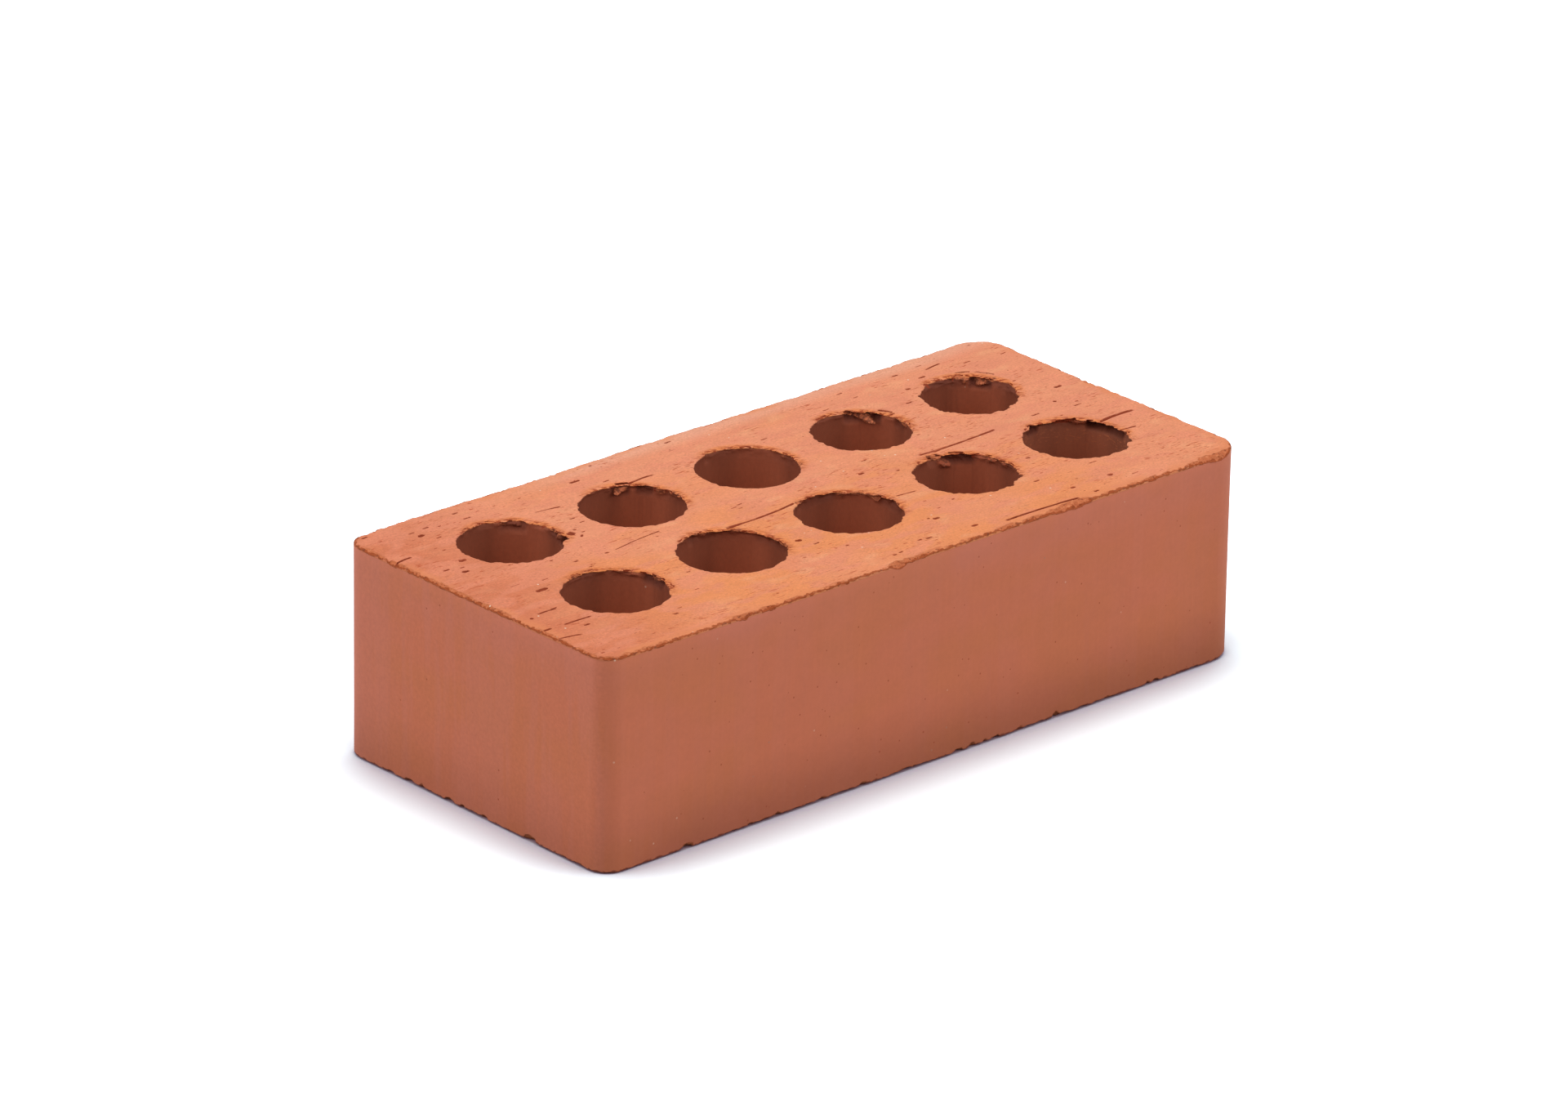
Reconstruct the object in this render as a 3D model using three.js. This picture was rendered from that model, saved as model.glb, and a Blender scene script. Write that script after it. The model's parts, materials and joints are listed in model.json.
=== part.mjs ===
// Perforated facing brick of extruded, wire-cut and fired clay.
//
// Millimetres, +Z up. The brick lies on its lower bed, and the origin is the middle of that bed.
// X runs along the length, between the two header faces, and Y across the width, between the two
// stretcher faces. The clay leaves the die along Z: the die's walls shape the four upright faces and
// their rounded corners, the cores hung in it leave the holes, which run straight from bed to bed,
// and the wire that cuts the column to lengths leaves the two flat beds.
import * as THREE from 'three';

// Work size of the brick.
const LENGTH = 226;
const WIDTH = 104;
const HEIGHT = 60;

// Rounded upright corners, as the die leaves them.
const CORNER_RADIUS = 8.5;

// Cores: round holes on a regular grid, rows along the length.
const CORE_DIAMETER = 28;
const CORES_IN_ROW = 5;
const ROWS = 2;

// Clay left outside the cores: beyond the end cores, and beside each outer row.
const END_WALL = 17.8;
const SIDE_WALL = 17.8;

// The bridge that carries the cores sits a little off the middle of the die.
const BRIDGE_OFFSET_X = 0.3;
const BRIDGE_OFFSET_Y = 1.8;

// Soft edge that handling and firing leave round both beds and round the mouths of the cores.
const ARRIS_RADIUS = 0.6;

// Facets of the round surfaces.
const CORNER_FACETS = 10;
const CORE_FACETS = 40;
const ARRIS_FACETS = 2;

const QUARTER_TURN = Math.PI / 2;
const FULL_TURN = Math.PI * 2;

// Points of an arc, counter-clockwise, with both of its ends.
function arcPoints(centreX, centreY, radius, startAngle, sweep, facets) {
  const points = [];
  for (let i = 0; i <= facets; i++) {
    const angle = startAngle + (sweep * i) / facets;
    points.push(new THREE.Vector2(
      centreX + radius * Math.cos(angle),
      centreY + radius * Math.sin(angle),
    ));
  }
  return points;
}

// Places of count cores across a span, the outer two a wall's thickness in from its ends.
function corePlaces(span, wall, count, offset) {
  const reach = span / 2 - wall - CORE_DIAMETER / 2;
  const pitch = count > 1 ? (2 * reach) / (count - 1) : 0;
  const first = count > 1 ? -reach : 0;
  return Array.from({ length: count }, (_, i) => first + i * pitch + offset);
}

// The mouth of the die: a rectangle with rounded corners.
function dieOutline() {
  const cornerX = LENGTH / 2 - CORNER_RADIUS;
  const cornerY = WIDTH / 2 - CORNER_RADIUS;
  const corners = [[cornerX, cornerY], [-cornerX, cornerY], [-cornerX, -cornerY], [cornerX, -cornerY]];
  return new THREE.Shape(corners.flatMap(([x, y], i) => (
    arcPoints(x, y, CORNER_RADIUS, i * QUARTER_TURN, QUARTER_TURN, CORNER_FACETS)
  )));
}

// One core, as a round hole in the section.
function coreOutline(x, y) {
  const points = arcPoints(x, y, CORE_DIAMETER / 2, 0, FULL_TURN, CORE_FACETS);
  points.pop();
  return new THREE.Path(points);
}

// Section of the clay column: the die's mouth less every core.
function columnSection() {
  const section = dieOutline();
  for (const y of corePlaces(WIDTH, SIDE_WALL, ROWS, BRIDGE_OFFSET_Y)) {
    for (const x of corePlaces(LENGTH, END_WALL, CORES_IN_ROW, BRIDGE_OFFSET_X)) {
      section.holes.push(coreOutline(x, y));
    }
  }
  return section;
}

// The column cut to the brick's height. The bevel turns the arrises inwards from the section, so the
// upright faces and the cores keep their full size and only the edges at the beds are eased.
function cutBrick() {
  return new THREE.ExtrudeGeometry(columnSection(), {
    depth: HEIGHT - 2 * ARRIS_RADIUS,
    steps: 1,
    bevelEnabled: true,
    bevelThickness: ARRIS_RADIUS,
    bevelSize: ARRIS_RADIUS,
    bevelOffset: -ARRIS_RADIUS,
    bevelSegments: ARRIS_FACETS,
  });
}

const firedClay = new THREE.MeshStandardMaterial({ color: 0xbc795d, roughness: 0.9, metalness: 0 });

const brick = new THREE.Mesh(cutBrick(), firedClay);
brick.name = 'perforated_brick';
brick.position.z = ARRIS_RADIUS;

const part = new THREE.Group();
part.add(brick);

export default part;
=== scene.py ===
import json
import math

import bpy
import numpy as np
from mathutils import Matrix, Vector


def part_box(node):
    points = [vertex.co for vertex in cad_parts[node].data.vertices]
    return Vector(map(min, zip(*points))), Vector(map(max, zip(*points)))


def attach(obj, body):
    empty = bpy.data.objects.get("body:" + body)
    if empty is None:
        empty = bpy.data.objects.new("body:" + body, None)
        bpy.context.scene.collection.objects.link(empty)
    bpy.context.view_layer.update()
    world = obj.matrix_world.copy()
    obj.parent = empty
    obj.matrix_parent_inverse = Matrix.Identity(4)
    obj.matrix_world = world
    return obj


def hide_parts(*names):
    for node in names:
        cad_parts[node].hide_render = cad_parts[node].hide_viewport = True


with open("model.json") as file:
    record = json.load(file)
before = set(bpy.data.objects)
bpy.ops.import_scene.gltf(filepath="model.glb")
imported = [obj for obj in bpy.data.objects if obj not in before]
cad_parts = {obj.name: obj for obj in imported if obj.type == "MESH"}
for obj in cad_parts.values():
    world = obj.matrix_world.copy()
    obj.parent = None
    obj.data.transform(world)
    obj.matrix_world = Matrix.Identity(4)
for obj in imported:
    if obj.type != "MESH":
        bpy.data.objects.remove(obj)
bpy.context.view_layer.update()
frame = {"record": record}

MM = 0.001
NODE = "perforated_brick"

# ---------------------------------------------------------------- sizes, from the brick's own solid
LOW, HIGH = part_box(NODE)
LENGTH, WIDTH, HEIGHT = HIGH - LOW
# Radius of each upright corner, by the side of the brick that it is on: (x side, y side).
CORNER_RADII = {(-1, -1): 6.5 * MM, (1, -1): 10.5 * MM, (1, 1): 9.0 * MM, (-1, 1): 7.0 * MM}
CORNER_STEPS = 14
CORE_STEPS = 96
CROWN = 0.12 * MM               # the beds lie this far inside the box, and burrs stand proud of them
DRAG_TURN = math.radians(2.0)   # the wire's drag marks lie a little askew of the length
TORN_SIDE = 45.0                # bearing of the side of each core where the wire dragged the clay inwards
# painted light: each core's wall is painted lighter towards this bearing and darker away from it; the bed's
# rim tint gathers on this side too
LIT_SIDE = 34.0                 # bearing of the palest side of each core
RIM_TURN = math.radians(42)     # the flakes and dashes at the rims run this way
MOUTH_REACH = 5 * MM            # how far from a core's wall its mouth is ragged
MARK_SPREAD = 1.2               # marks are wider than they are written, because they run out at their edges
# the marks darken with their depth: partly their own darker clay, partly painted shade in the hollows
FULL_MARK = 0.3                 # depth in millimetres from which a mark is fully dark
SEED = 11

# ---------------------------------------------------------------- fineness of the mesh
VOXEL = 0.5 * MM
FACES_KEPT = 190_000
FINE_TOP = 14 * MM              # depth below the upper bed that needs a fine mesh
FINE_FOOT = 5 * MM              # height above the lower bed that needs a fine mesh
SQUEEZE = 6                     # how much the plain middle is squeezed while the clay is fused
SHARP_ANGLE = math.radians(38)  # faces that meet at less than this are shaded as one


def core_places():
    """Middle of each core, from the openings that the brick states."""
    places = {}
    for opening in frame["record"]["physics"]["openings"]:
        lowest, highest = opening["box_m"]
        places[opening["name"]] = ((lowest[0] + highest[0]) / 2, (lowest[1] + highest[1]) / 2)
    return places


# Each core: how far it drifted from its place in the die, its radius, how far the wire drew back the torn
# side of its mouth (less than 0 where it drew clay over the mouth), how ragged its mouth is, the tears
# in the rim, the bites out of it, the hollows under it, and the tongues of clay that the wire dragged over
# it. Bearings are in degrees about the core, from +X towards +Y, and lengths are in millimetres.
#   a tear, a bite or a hollow is (bearing, half width, depth)
#   a tongue is (bearing of its root, bearing of its tip, width of root, width of tip, overhang, drop)
CORES = {
    "front_row_core_1": dict(
        drift=(-0.2, -0.5), radius=14.0, lip=0.0, ragged=0.9,
        tears=[(98, 16, 0.4), (50, 40, 0.35), (2, 9, 0.8)],
        bites=[(-52, 4, 0.4)],
        hollows=[(58, 34, 0.3), (4, 16, 0.9)],
        tongues=[(34, 30, 3.0, 2.0, 0.4, 0.3)]),
    "front_row_core_2": dict(
        drift=(-0.3, 0.4), radius=14.6, lip=-0.8, ragged=0.9,
        tears=[(90, 7, 0.7), (40, 40, 0.4), (-16, 14, 0.6)],
        bites=[(94, 5, 0.5), (-30, 5, 0.4)],
        hollows=[(70, 30, 0.3), (0, 24, 0.4)],
        tongues=[(82, 80, 2.4, 1.4, 0.5, 0.3)]),
    "front_row_core_3": dict(
        drift=(0.1, 0.4), radius=14.3, lip=-0.6, ragged=0.9,
        tears=[(112, 8, 0.6), (45, 40, 0.35), (20, 9, 0.9), (-8, 12, 0.6)],
        bites=[(-4, 6, 0.5), (112, 5, 0.4)],
        hollows=[(84, 22, 0.4), (-4, 20, 0.5)],
        tongues=[(60, 56, 3.0, 2.0, 0.5, 0.4), (24, 16, 2.4, 1.2, 0.8, 0.9)]),
    "front_row_core_4": dict(
        drift=(0.9, 0.5), radius=13.9, lip=-0.5, ragged=1.1,
        tears=[(84, 13, 0.8), (40, 30, 0.35), (12, 16, 0.6)],
        bites=[(-46, 6, 1.0), (-74, 6, 0.6), (84, 8, 0.5)],
        hollows=[(56, 20, 1.0), (4, 22, 0.4)],
        tongues=[(86, 68, 4.0, 2.2, 0.9, 2.6), (20, 16, 3.0, 2.0, 0.6, 0.5),
                 (2, -2, 2.4, 1.6, 0.5, 0.6)]),
    "front_row_core_5": dict(
        drift=(-0.1, 0.0), radius=14.2, lip=-1.4, ragged=1.1,
        tears=[(104, 10, 0.6), (45, 30, 0.3), (0, 14, 0.6)],
        bites=[(108, 9, 0.6), (-44, 5, 0.7), (-66, 7, 0.7), (-20, 5, 0.6)],
        hollows=[(99, 8, 1.4), (60, 20, 0.4), (20, 13, 3.2), (0, 15, 1.6)],
        tongues=[(116, 112, 2.0, 1.4, 0.4, 0.5), (44, 43, 6.0, 4.6, 0.5, 0.5)]),
    "back_row_core_1": dict(
        drift=(0.0, 1.0), radius=13.9, lip=0.0, ragged=0.9,
        tears=[(-32, 8, 0.8), (-10, 18, 0.6), (55, 20, 0.3)],
        bites=[(46, 15, 0.6), (-27, 6, 1.3)],
        hollows=[(46, 15, 0.6), (-12, 14, 0.6), (-28, 8, 1.2)],
        tongues=[(60, 57, 3.0, 2.0, 0.4, 0.4), (-8, -14, 2.4, 1.2, 0.5, 0.5)]),
    "back_row_core_2": dict(
        drift=(0.2, -0.5), radius=14.2, lip=-0.4, ragged=0.8,
        tears=[(76, 6, 0.4), (35, 30, 0.35), (-2, 18, 0.6)],
        bites=[(150, 5, 0.5)],
        hollows=[(62, 10, 0.9), (36, 10, 0.8), (4, 24, 0.4)],
        tongues=[(47, 68, 3.6, 1.6, 1.5, 1.5), (22, 18, 3.0, 2.0, 0.5, 0.4)]),
    "back_row_core_3": dict(
        drift=(0.0, -0.3), radius=14.0, lip=0.1, ragged=0.45,
        tears=[(30, 50, 0.25), (-28, 8, 0.6)],
        bites=[(98, 4, 0.5), (-160, 5, 0.3)],
        hollows=[(40, 40, 0.2), (4, 16, 0.3)],
        tongues=[(8, 5, 2.4, 1.6, 0.4, 0.4)]),
    "back_row_core_4": dict(
        drift=(-0.1, -0.4), radius=13.5, lip=0.0, ragged=0.9,
        tears=[(62, 6, 0.8), (30, 30, 0.4), (0, 9, 0.8)],
        bites=[(62, 6, 0.4), (-150, 12, 0.5), (-14, 4, 0.4)],
        hollows=[(46, 20, 1.6), (-2, 8, 0.6)],
        tongues=[(65, 34, 2.8, 1.9, 1.8, 1.7), (-4, -10, 3.2, 2.6, 0.6, 0.1)]),
    "back_row_core_5": dict(
        drift=(-1.2, -0.3), radius=13.1, lip=1.0, ragged=1.3,
        tears=[(58, 8, 0.5), (18, 14, 0.5)],
        bites=[(36, 10, 0.7), (140, 5, 0.4), (-40, 5, 0.5), (4, 5, 0.4)],
        hollows=[(62, 9, 0.6), (34, 14, 1.2)],
        tongues=[(36, 34, 6.8, 1.2, 1.3, 1.5), (60, 51, 1.6, 0.8, 0.6, 0.5)]),
}
RIM_CRACKS = 9                  # short cracks behind the torn side of each mouth

# Chips broken off the arrises: (x, y, reach along the arris, depth), in millimetres.
TOP_CHIPS = [(-13, -52, 3.5, 1.5), (-32, -52, 2.5, 0.8), (50, -52, 6.5, 1.9), (43, -52, 3.5, 1.2),
             (101, -52, 8.0, 1.6), (93, -52, 3.0, 1.2), (78, -52, 3.0, 0.9), (10, -52, 2.5, 0.8),
             (-68, -52, 4.5, 1.2), (-58, -52, 3.5, 0.9), (-95, -52, 8.0, 1.0), (-113, 31, 5.0, 0.9),
             (-113, 12, 4.0, 0.7), (-113, -20, 5.0, 0.6), (-111, -50, 3.0, 0.7), (113, 10, 6.0, 1.2),
             (113, -30, 4.0, 0.9), (60, 52, 6.0, 0.8), (-40, 52, 5.0, 0.7), (-105, 52, 4.5, 1.3),
             (-113, 44, 3.0, 0.5)]
FOOT_CHIPS = [(-85, -52, 2.6, 2.4), (44.8, -52, 1.6, 2.0), (9.5, -52, 1.8, 1.7), (-54, -52, 1.6, 1.5),
              (-24, -52, 1.5, 1.4), (-8, -52, 5.0, 0.9), (14.6, -52, 1.3, 1.6), (23, -52, 2.0, 1.7),
              (19, -52, 1.1, 1.3), (62, -52, 5.0, 0.9), (81.6, -52, 1.8, 1.7), (78.5, -52, 1.1, 1.2),
              (94, -52, 4.0, 1.1), (-63, -52, 1.6, 1.4), (-70, -52, 3.0, 0.9), (-38, -52, 1.2, 1.2),
              (32, -52, 1.2, 1.2), (-113, 9, 2.2, 1.8), (-113, 4, 1.2, 1.3), (-113, -5, 1.5, 1.5),
              (-113, -23, 2.4, 2.3), (-113, 25, 2.2, 1.6), (-113, 20, 1.2, 1.2), (-113, 33, 2.2, 1.4),
              (113, 0, 5.0, 1.2), (113, -30, 3.0, 0.9), (0, 52, 6.0, 1.4), (-62, 52, 4.0, 1.0)]
# Wear of the upper arris and of the foot between the chips: (usual size, waver), in millimetres.
ARRIS_WEAR = [(0.5, 0.22), (0.4, 0.34)]

# Scratches that the wire left in the upper bed: (start, end, sideways bow, width, depth), in millimetres.
SCRATCHES = [((-31.0, -5.5), (-7.5, -4.5), -0.9, 0.6, 0.3),
             ((41.5, -0.9), (68.0, -0.5), -0.6, 0.6, 0.25),
             ((-62.5, 1.8), (-47.0, 3.8), 0.3, 0.3, 0.25),
             ((95.7, -14.0), (106.7, -13.6), 0.3, 0.8, 0.35),
             ((28.6, -48.5), (52.5, -49.3), 0.5, 0.6, 0.6),
             ((17.9, -17.9), (23.1, -18.4), 0.0, 0.3, 0.2),
             ((-30.6, 33.7), (-22.6, 34.0), 0.2, 0.5, 0.35),
             ((-62.1, 33.9), (-56.0, 32.9), 0.1, 0.4, 0.25),
             ((-112.0, 30.9), (-107.5, 31.6), 0.2, 0.5, 0.4),
             ((-105.3, -17.6), (-100.8, -17.7), 0.1, 0.5, 0.3),
             ((-104.6, -27.0), (-97.1, -27.0), 0.1, 0.4, 0.3),
             ((-111.5, -33.3), (-106.5, -34.4), 0.1, 0.5, 0.3),
             ((95.6, -22.1), (99.2, -22.5), 0.0, 0.5, 0.3),
             ((84.7, 43.2), (89.2, 43.9), 0.1, 0.4, 0.3)]

# Crevices behind clay that the wire lifted: (start, end, width, depth), in millimetres.
CREVICES = [((93.2, 32.6), (95.6, 29.2), 1.2, 1.2), ((88.6, 35.5), (91.6, 34.6), 1.0, 0.9),
            ((86.6, -5.2), (91.4, -7.4), 0.9, 0.8), ((-65.8, 17.0), (-64.6, 17.4), 1.4, 0.7),
            ((-64.2, 14.0), (-63.2, 14.8), 0.6, 0.3), ((-78.6, -4.2), (-75.4, -5.0), 0.5, 0.4),
            ((-72.6, -6.6), (-70.2, -8.6), 0.5, 0.4), ((-33.6, 35.6), (-30.8, 34.4), 0.8, 0.6),
            ((54.6, 29.6), (56.0, 26.4), 0.9, 0.9), ((48.6, -4.4), (51.4, -6.4), 0.8, 0.6)]

# Pits and short gouges in the upper bed: (x, y, length, width, depth), in millimetres.
GOUGES = [(-95.7, 40.9, 2.0, 1.2, 0.6), (-78.9, 42.4, 2.4, 0.6, 0.4), (-41.0, 43.6, 3.4, 0.9, 0.5),
          (-98.1, 21.5, 2.2, 1.0, 0.4), (-102.1, 15.4, 2.0, 1.2, 0.7), (-94.9, -6.3, 3.6, 1.0, 0.5),
          (-98.6, 0.1, 3.4, 0.4, 0.2), (-109.1, -18.8, 1.0, 0.8, 0.5), (-110.6, -26.8, 2.4, 0.8, 0.5),
          (-66.3, 1.6, 1.4, 0.9, 0.4), (-78.8, -39.6, 1.6, 0.8, 0.4), (20.6, -0.5, 2.0, 0.9, 0.4),
          (27.2, 5.8, 2.2, 0.5, 0.3), (29.5, -5.0, 1.2, 0.7, 0.4), (27.3, -28.8, 1.2, 0.8, 0.3),
          (-20.8, 3.4, 2.0, 0.5, 0.3), (-18.2, 4.2, 2.0, 0.6, 0.3), (-19.6, 2.2, 1.6, 0.4, 0.2),
          (-22.6, -23.9, 1.8, 1.3, 0.6), (-15.1, -34.3, 1.2, 0.7, 0.3), (1.8, -43.6, 1.6, 0.7, 0.4),
          (4.6, -44.1, 2.2, 0.6, 0.4), (-9.9, -46.8, 1.4, 0.6, 0.4), (-7.4, -46.5, 1.6, 0.6, 0.4),
          (15.0, -35.6, 2.2, 1.3, 0.5), (13.4, -34.4, 1.0, 0.7, 0.5), (19.5, -45.6, 2.2, 1.1, 0.4),
          (61.9, -20.7, 1.4, 0.7, 0.5), (17.0, 33.9, 2.4, 0.5, 0.3), (103.4, 11.7, 2.6, 1.0, 0.6),
          (95.3, 4.2, 1.0, 0.9, 0.5), (99.9, 0.6, 1.4, 0.8, 0.3), (70.9, 35.8, 1.6, 1.0, 0.4),
          (96.4, 40.0, 2.6, 0.5, 0.3), (73.1, -33.8, 2.9, 0.5, 0.3), (70.8, -42.9, 1.8, 1.2, 0.3),
          (56.9, -43.2, 1.6, 1.0, 0.4), (60.1, -48.8, 1.6, 0.8, 0.5), (-62.6, 18.6, 1.2, 0.6, 0.3),
          (-61.4, 16.4, 1.4, 0.5, 0.3), (-57.4, 21.6, 1.6, 0.5, 0.3)]
STRAY_GOUGES = 100              # small ones strewn over each bed


# ---------------------------------------------------------------- small helpers
def only(piece):
    """Selects one piece and nothing else."""
    bpy.ops.object.select_all(action="DESELECT")
    piece.select_set(True)
    bpy.context.view_layer.objects.active = piece
    return piece


def apply_modifier(piece, kind, **settings):
    """Adds a modifier with these settings and applies it."""
    only(piece)
    modifier = piece.modifiers.new(kind.title(), kind)
    for name, value in settings.items():
        setattr(modifier, name, value)
    bpy.ops.object.modifier_apply(modifier=modifier.name)


def edit_chosen(piece, kind, chosen, operation, **settings):
    """Runs a mesh operation on the chosen edges or faces of a piece."""
    only(piece)
    bpy.ops.object.mode_set(mode="EDIT")
    bpy.ops.mesh.select_mode(type=kind)
    bpy.ops.mesh.select_all(action="DESELECT")
    bpy.ops.object.mode_set(mode="OBJECT")
    parts = piece.data.edges if kind == "EDGE" else piece.data.polygons
    parts.foreach_set("select", chosen)
    bpy.ops.object.mode_set(mode="EDIT")
    operation(**settings)
    bpy.ops.object.mode_set(mode="OBJECT")


def joined(pieces):
    """Joins the pieces into the first."""
    bpy.ops.object.select_all(action="DESELECT")
    for piece in pieces:
        piece.select_set(True)
    bpy.context.view_layer.objects.active = pieces[0]
    bpy.ops.object.join()
    return bpy.context.object


def get_points(piece):
    points = np.empty(len(piece.data.vertices) * 3, np.float32)
    piece.data.vertices.foreach_get("co", points)
    return points.reshape(-1, 3).astype(float)


def set_points(piece, points):
    piece.data.vertices.foreach_set("co", np.ascontiguousarray(points, np.float32).ravel())
    piece.data.update()


PRIMES = (73856093, 19349663, 83492791)


def lattice(cells, seed):
    """A repeatable random number from 0 to 1 for each whole-numbered cell."""
    x, y, z = (cells[..., i].astype(np.uint64) * np.uint64(prime) for i, prime in enumerate(PRIMES))
    h = (x ^ y ^ z ^ np.uint64(seed * 2654435761 % 2**32)) * np.uint64(2246822519)
    h ^= h >> np.uint64(15)
    h *= np.uint64(3266489917)
    h ^= h >> np.uint64(13)
    return (h & np.uint64(0xFFFFFF)).astype(float) / 0xFFFFFF


def noise(points, cell, seed):
    """Smooth noise from -1 to 1; cell is the size of its grain in mm, one length or one for each axis."""
    scaled = points / (np.asarray(cell) * MM) + 4096.0
    base = np.floor(scaled)
    part = scaled - base
    ease = part ** 3 * (part * (part * 6 - 15) + 10)
    base = base.astype(np.int64)
    total = 0.0
    for corner in np.ndindex(2, 2, 2):
        weight = np.prod([ease[:, i] if c else 1 - ease[:, i] for i, c in enumerate(corner)], axis=0)
        total = total + weight * lattice(base + corner, seed)
    return total * 2 - 1


def rough(points, cell, seed, octaves=3):
    """Noise with finer noise laid over it."""
    cell = np.asarray(cell, float)
    return sum(noise(points, cell / 2 ** k, seed + k) / 1.8 ** k for k in range(octaves))


def smoothstep(value, start, end):
    """The value brought from start..end to 0..1, easing in and out."""
    t = np.clip((value - start) / (end - start), 0, 1)
    return t * t * (3 - 2 * t)


def turned(points, angle):
    """The points turned about +Z."""
    c, s = math.cos(angle), math.sin(angle)
    result = points.copy()
    result[:, 0] = c * points[:, 0] - s * points[:, 1]
    result[:, 1] = s * points[:, 0] + c * points[:, 1]
    return result


# ---------------------------------------------------------------- the green brick
def extruded_column():
    """The brick as the die and the wire leave it: a block with rounded upright corners."""
    bpy.ops.mesh.primitive_cube_add(size=1, location=(0, 0, HEIGHT / 2))
    block = bpy.context.object
    block.name = "brick"
    block.scale = (LENGTH, WIDTH, HEIGHT - 2 * CROWN)
    bpy.ops.object.transform_apply(location=True, rotation=False, scale=True)
    for (side_x, side_y), radius in CORNER_RADII.items():
        corner = []
        for edge in block.data.edges:
            a, b = (block.data.vertices[i].co for i in edge.vertices)
            upright = abs(a.z - b.z) > HEIGHT / 2
            at_end = min(a.x * side_x, b.x * side_x) > 0.49 * LENGTH
            at_face = min(a.y * side_y, b.y * side_y) > 0.49 * WIDTH
            corner.append(upright and at_end and at_face)
        edit_chosen(block, "EDGE", np.array(corner), bpy.ops.mesh.bevel, offset=radius,
                    segments=CORNER_STEPS, affect="EDGES")
    return block


def core_rods():
    """One rod for each core, standing where the core's hole is."""
    rods = []
    for name, (x, y) in core_places().items():
        dx, dy = CORES[name]["drift"]
        bpy.ops.mesh.primitive_cylinder_add(vertices=CORE_STEPS, radius=CORES[name]["radius"] * MM,
                                            depth=HEIGHT * 1.4,
                                            location=(x + dx * MM, y + dy * MM, HEIGHT / 2))
        rods.append(bpy.context.object)
    return joined(rods)


def tongue(middle, radius, shape, seed):
    """A tongue of clay that the wire dragged over a core's mouth, rooted in the bed behind the rim."""
    root_bearing, tip_bearing, root_width, tip_width, overhang, drop = shape
    buried = 1.4
    thickness = 0.9 + 0.018 * abs(tip_bearing - root_bearing)
    bpy.ops.mesh.primitive_grid_add(x_subdivisions=12, y_subdivisions=10, size=1)
    sheet = bpy.context.object
    flat = get_points(sheet)
    along = flat[:, 0] + 0.5
    ragged = rough(flat * np.array([9, 9, 0]) * MM + seed * MM, 2.0, seed)
    along = np.clip(along + 0.12 * ragged * along, 0, 1.2)
    width = root_width + (tip_width - root_width) * along
    bearing = np.radians(root_bearing + (tip_bearing - root_bearing) * along)
    reach = radius / MM + buried - (buried + overhang) * along
    across = flat[:, 1] * width * (1 + 0.15 * ragged)
    points = np.empty_like(flat)
    points[:, 0] = np.cos(bearing) * reach - np.sin(bearing) * across
    points[:, 1] = np.sin(bearing) * reach + np.cos(bearing) * across
    points[:, 2] = -0.1 - thickness / 2 - drop * along ** 1.5 + 0.2 * ragged * along
    set_points(sheet, points * MM + [middle[0], middle[1], HEIGHT - CROWN])
    apply_modifier(sheet, "SOLIDIFY", thickness=thickness * MM, offset=0)
    return sheet


def tongues():
    """Every tongue of clay over the cores' mouths."""
    made = []
    for name, place in core_places().items():
        core = CORES[name]
        middle = np.array(place) + np.array(core["drift"]) * MM
        for shape in core["tongues"]:
            made.append(tongue(middle, core["radius"] * MM, shape, SEED + len(made)))
    return made


def rim_crumbs(chance):
    """Crumbs along the torn stretches of the cores' mouths: (x, y, z, size), in millimetres."""
    for name, place in core_places().items():
        core = CORES[name]
        middle = np.array(place) / MM + core["drift"]
        for bearing, half, depth in core["tears"]:
            for _ in range(int(half * depth * 0.5)):
                angle = math.radians(bearing + half * chance.uniform(-1, 1))
                out = core["radius"] + chance.uniform(0.0, 0.8 * depth)
                sink = chance.uniform(0.3, 0.4 + 0.9 * depth)
                yield (middle[0] + out * math.cos(angle), middle[1] + out * math.sin(angle),
                       (HEIGHT - CROWN) / MM - sink, chance.uniform(0.4, 0.8))


def chip_crumbs(chance):
    """Crumbs in the chips of the arrises: (x, y, z, size), in millimetres."""
    for chips, level in ((TOP_CHIPS, HEIGHT - CROWN), (FOOT_CHIPS, CROWN)):
        for x, y, reach, depth in chips:
            on_face = abs(y) * MM > WIDTH / 2 - 1 * MM
            for _ in range(int(reach * 3)):
                along = reach * chance.uniform(-1, 1)
                inward = chance.uniform(0.2, 0.6 + 0.8 * depth)
                sink = math.copysign(chance.uniform(0.2, 0.6 + 0.7 * depth), level - HEIGHT / 2)
                dx = along if on_face else -math.copysign(inward, x)
                dy = -math.copysign(inward, y) if on_face else along
                yield (x + dx, y + dy, level / MM - sink, chance.uniform(0.5, 1.1))


def crumbs():
    """Crumbs of clay stuck along the torn mouths and in the chips, none of them past the outline."""
    chance = np.random.default_rng(SEED)
    bpy.ops.mesh.primitive_ico_sphere_add(subdivisions=2, radius=0.5)
    ball = bpy.context.object
    shape = get_points(ball)
    faces = np.array([face.vertices[:] for face in ball.data.polygons])
    places = np.array([*rim_crumbs(chance), *chip_crumbs(chance)])
    distance, way = outline_distance(places[:, :3] * MM)
    places[:, :2] -= way * np.maximum(distance / MM + 0.45 * places[:, 3], 0)[:, None]
    points = []
    for number, (x, y, z, size) in enumerate(places):
        lump = shape * chance.uniform(0.7, 1.3, 3) * size
        lump = lump * (1 + 0.3 * noise(lump * MM + number * MM, 0.5, SEED))[:, None]
        points.append(lump + [x, y, z])
    all_faces = np.concatenate([faces + number * len(shape) for number in range(len(places))])
    ball.data.clear_geometry()
    ball.data.from_pydata(np.concatenate(points) * MM, [], all_faces)
    return ball


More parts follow.
